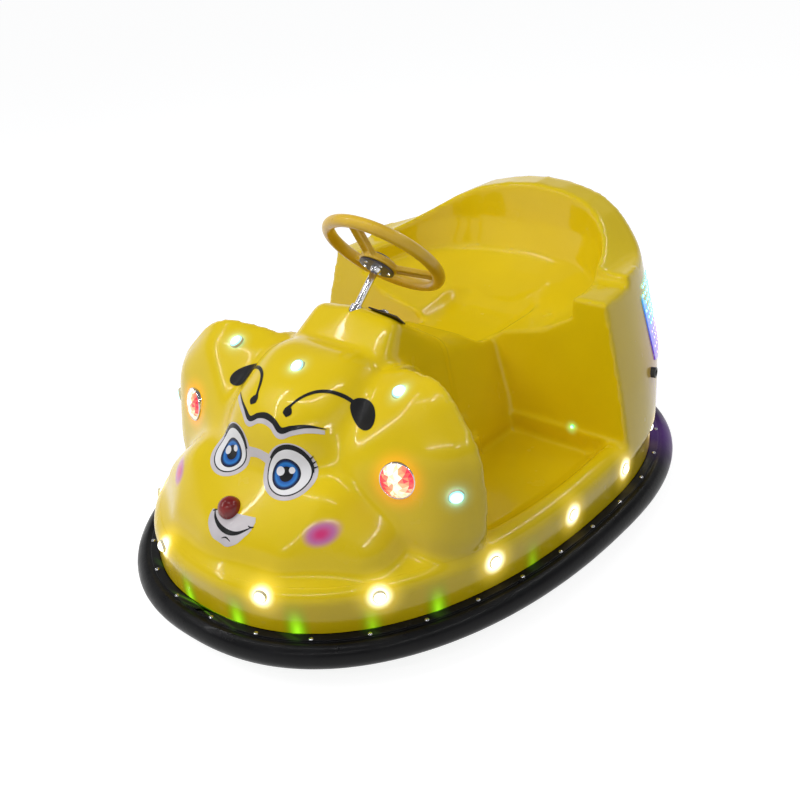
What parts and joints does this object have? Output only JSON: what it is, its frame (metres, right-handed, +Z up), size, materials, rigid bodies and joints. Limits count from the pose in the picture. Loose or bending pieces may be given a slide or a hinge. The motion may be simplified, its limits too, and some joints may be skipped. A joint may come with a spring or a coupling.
{
  "type": "fairground bumper car",
  "caption": "Small fairground bumper car with a moulded yellow animal-face body, rubber bumper ring, lit lamps, steering wheel and battery drive.",
  "frame": {"origin": "on the floor under the middle of the bumper ring", "axes": "-Y to the front, +Z up, +X to the rider's left"},
  "size_m": [1.0258, 1.3255, 0.7305],
  "materials": {
    "shell_yellow": "glossy moulded shell",
    "ring_rubber": "glossy black rubber",
    "lamp_cool": "lit cool white lens",
    "lamp_red": "lit red faceted lens",
    "lamp_warm": "lit warm white lens",
    "lamp_green": "lit green lens",
    "lamp_blue": "lit blue panel",
    "nose_red": "glossy dark red",
    "black_plastic": "satin black",
    "black_rubber": "ribbed rubber",
    "dash_dark": "dark brown satin",
    "wheel_yellow": "satin moulded rim",
    "plate_grey": "satin dark grey",
    "bright_steel": "polished steel",
    "frame_paint": "satin black paint",
    "motor_paint": "satin grey paint",
    "tyre_rubber": "matte rubber",
    "hub_plastic": "moulded off-white",
    "tray_steel": "zinc-plated sheet",
    "battery_case": "moulded case"
  },
  "bodies": {
    "root": {"hood_shell": "shell_yellow", "tub_shell": "shell_yellow", "bumper_ring": "ring_rubber", "hood_lamps": "lamp_cool", "side_lamp_left": "lamp_red", "side_lamp_right": "lamp_red", "skirt_lamps": "lamp_warm", "step_lamps": "lamp_green", "nose_ball": "nose_red", "rear_light_left": "lamp_blue", "rear_light_right": "lamp_blue", "charge_socket": "black_plastic", "foot_pedal": "black_rubber", "dash_panel": "dash_dark", "start_button": "bright_steel", "shaft_bush": "black_plastic", "steering_column": "frame_paint", "rear_axle": "bright_steel", "chassis_frame": "frame_paint", "battery_tray": "tray_steel", "battery": "battery_case"},
    "steering": {"steering_wheel": "wheel_yellow", "hub_plate": "plate_grey", "wheel_cap": "black_plastic", "steering_shaft": "bright_steel"},
    "fork": {"drive_fork": "frame_paint", "drive_axle": "bright_steel", "drive_motor": "motor_paint"},
    "drive_wheel": {"drive_tyre": "tyre_rubber", "drive_hub": "hub_plastic"},
    "rear_wheel_left": {"rear_tyre_left": "tyre_rubber", "rear_hub_left": "hub_plastic"},
    "rear_wheel_right": {"rear_tyre_right": "tyre_rubber", "rear_hub_right": "hub_plastic"}
  },
  "joints": [
    {"name": "steering_turn", "type": "hinge", "parent": "root", "child": "steering", "pos_m": [0, -0.015, 0.622], "axis": [0, 0.7513, 0.66], "range_deg": [-90, 90]},
    {"name": "fork_swivel", "type": "hinge", "parent": "root", "child": "fork", "pos_m": [0, -0.33, 0.25], "axis": [0, 0, 1], "range_deg": [-90, 90]},
    {"name": "drive_wheel_spin", "type": "hinge", "parent": "fork", "child": "drive_wheel", "pos_m": [0, -0.33, 0.075], "axis": [1, 0, 0], "continuous": true},
    {"name": "rear_wheel_left_spin", "type": "hinge", "parent": "root", "child": "rear_wheel_left", "pos_m": [0.25, 0.4, 0.05], "axis": [1, 0, 0], "continuous": true},
    {"name": "rear_wheel_right_spin", "type": "hinge", "parent": "root", "child": "rear_wheel_right", "pos_m": [-0.25, 0.4, 0.05], "axis": [1, 0, 0], "continuous": true}
  ],
  "couplings": [
    {"joint": "fork_swivel", "follows": "steering_turn", "ratio": 1}
  ]
}
